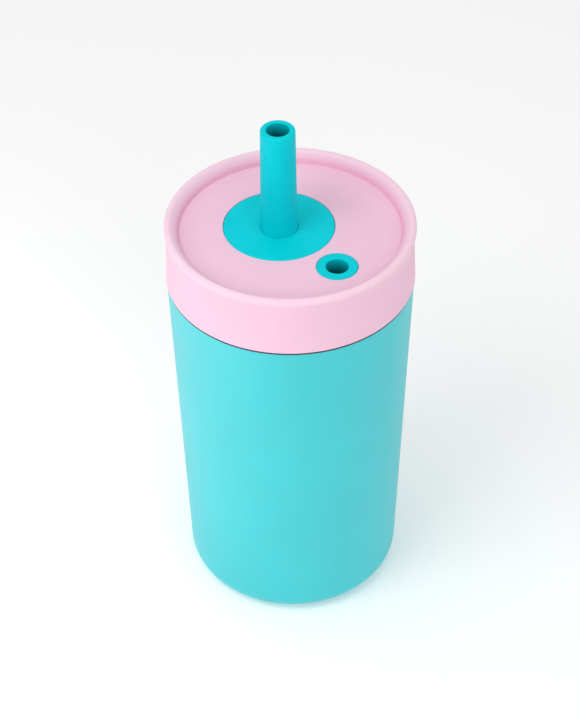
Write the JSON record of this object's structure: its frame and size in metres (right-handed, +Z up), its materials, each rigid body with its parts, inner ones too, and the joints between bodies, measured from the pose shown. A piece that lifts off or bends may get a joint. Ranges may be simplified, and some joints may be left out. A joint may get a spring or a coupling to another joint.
{
  "type": "insulated straw cup",
  "caption": "Double-walled tapered steel cup with a screw lid, an upright soft straw in a round flange and a small air vent in the lid.",
  "frame": {"origin": "middle of the surface that the cup stands on", "axes": "+Z up along the axis of the cup and lid; the straw stands off the axis towards +Y and the air vent is on the -Y side of the lid"},
  "size_m": [0.0762, 0.0762, 0.1674],
  "materials": {
    "teal_coat": "satin powder coat",
    "steel": "brushed",
    "seal_glass": "fused glass bead",
    "getter_metal": "pressed powder",
    "pink_plastic": "fine matt moulding",
    "clear_silicone": "matt silicone",
    "teal_silicone": "matt silicone",
    "straw_plastic": "satin"
  },
  "bodies": {
    "cup": {"outer_shell": "teal_coat", "inner_liner": "steel", "base_disc": "steel", "vacuum_seal": "seal_glass", "getter": "getter_metal", "getter_clip": "steel"},
    "gasket": {"lid_gasket": "clear_silicone"},
    "lid": {"lid": "pink_plastic"},
    "straw": {"straw_spout": "teal_silicone", "lower_straw": "straw_plastic"},
    "vent": {"vent_valve": "teal_silicone"}
  },
  "joints": [
    {"name": "lid_rise", "type": "slide", "parent": "cup", "child": "gasket", "axis": [0, 0, 1], "range_m": [0, 0.0063]},
    {"name": "lid_turn", "type": "hinge", "parent": "gasket", "child": "lid", "pos_m": [0, 0, 0.125], "axis": [0, 0, 1], "range_deg": [0, 540]},
    {"name": "straw_pull", "type": "slide", "parent": "lid", "child": "straw", "axis": [0, 0, 1], "range_m": [0, 0.12]},
    {"name": "vent_pull", "type": "slide", "parent": "lid", "child": "vent", "axis": [0, 0, 1], "range_m": [0, 0.012]}
  ],
  "couplings": [
    {"joint": "lid_rise", "follows": "lid_turn", "m_per_rad": 0.00066845}
  ]
}
